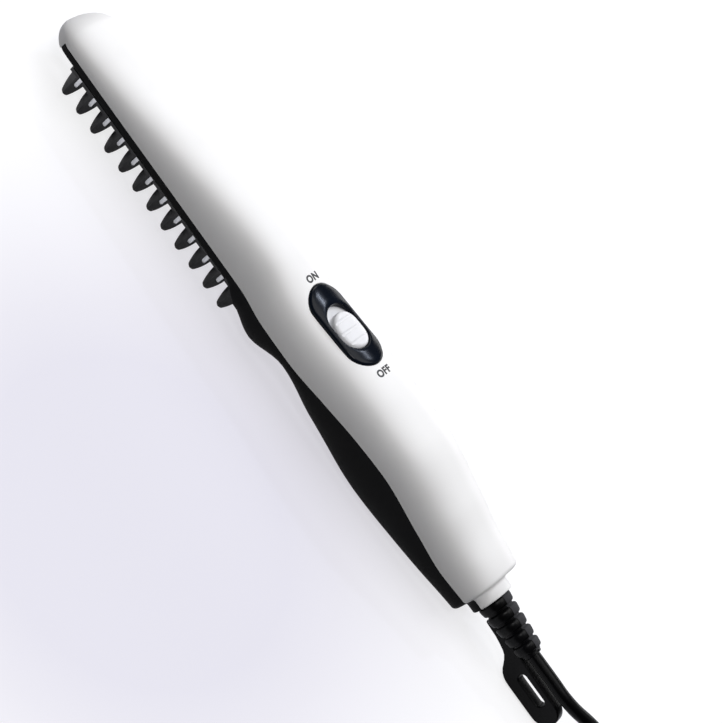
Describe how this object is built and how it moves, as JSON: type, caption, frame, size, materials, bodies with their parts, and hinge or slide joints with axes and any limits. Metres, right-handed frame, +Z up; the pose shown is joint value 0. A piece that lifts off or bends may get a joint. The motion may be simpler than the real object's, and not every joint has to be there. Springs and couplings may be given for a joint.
{
  "type": "beard straightener",
  "caption": "Corded heated comb wand with a white upper shell, black lower shell, toothed comb guard over a finned heater, slide switch and moulded hang loop.",
  "frame": {"origin": "on the standing surface under the middle of the wand, from the nose to the end of the hang loop", "axes": "+X along the wand from the nose to the cord, +Z up from the tooth tips to the switch, Y across the wand"},
  "size_m": [0.4606, 0.043, 0.0379],
  "materials": {
    "white_plastic": "satin white ABS",
    "black_plastic": "satin black ABS",
    "guard_plastic": "satin black heat-resistant nylon",
    "aluminium": "blasted",
    "amber_film": "smooth polyimide",
    "brass": "rolled sheet",
    "ceramic_stone": "fired ceramic with silvered faces",
    "sheet_steel": "zinc-plated sheet",
    "screw_steel": "zinc-plated",
    "mica": "pressed mica",
    "fuse_can": "drawn can",
    "gloss_black": "polished black ABS",
    "knob_white": "smooth white ABS",
    "plunger_white": "natural nylon",
    "switch_grey": "moulded",
    "board_green": "solder-masked laminate",
    "lead_brown": "PVC insulation",
    "lead_red": "PVC insulation",
    "lead_blue": "PVC insulation",
    "cord_black": "semi-gloss PVC sheath",
    "boot_rubber": "matte moulded PVC",
    "tie_black": "soft strap",
    "plug_black": "satin moulded PVC",
    "plated_brass": "nickel-plated"
  },
  "bodies": {
    "housing": {"top_shell": "white_plastic", "bottom_shell": "black_plastic", "comb_guard": "guard_plastic", "heater_plate": "aluminium", "heater_film": "amber_film", "heater_electrodes": "brass", "ptc_elements": "ceramic_stone", "heater_clamp": "sheet_steel", "heater_screws": "screw_steel", "heat_shield": "mica", "thermal_fuse": "fuse_can", "switch_bezel": "gloss_black", "switch_body": "switch_grey", "switch_terminals": "brass", "switch_board": "board_green", "board_screws": "screw_steel", "live_lead": "lead_brown", "switched_lead": "lead_red", "neutral_lead": "lead_blue", "housing_screws": "screw_steel", "cord_clamp": "guard_plastic", "clamp_screws": "screw_steel", "cord_entry": "cord_black", "strain_relief": "boot_rubber", "cord_run": "cord_black", "cord_hank": "cord_black", "cord_tail": "cord_black", "hank_tie": "tie_black", "plug_body": "plug_black", "plug_pins": "plated_brass"},
    "slider": {"slide_knob": "knob_white", "switch_actuator": "plunger_white"}
  },
  "joints": [
    {"name": "switch_slide", "type": "slide", "parent": "housing", "child": "slider", "axis": [-0.9968, 0, -0.0798], "range_m": [0, 0.003]}
  ]
}
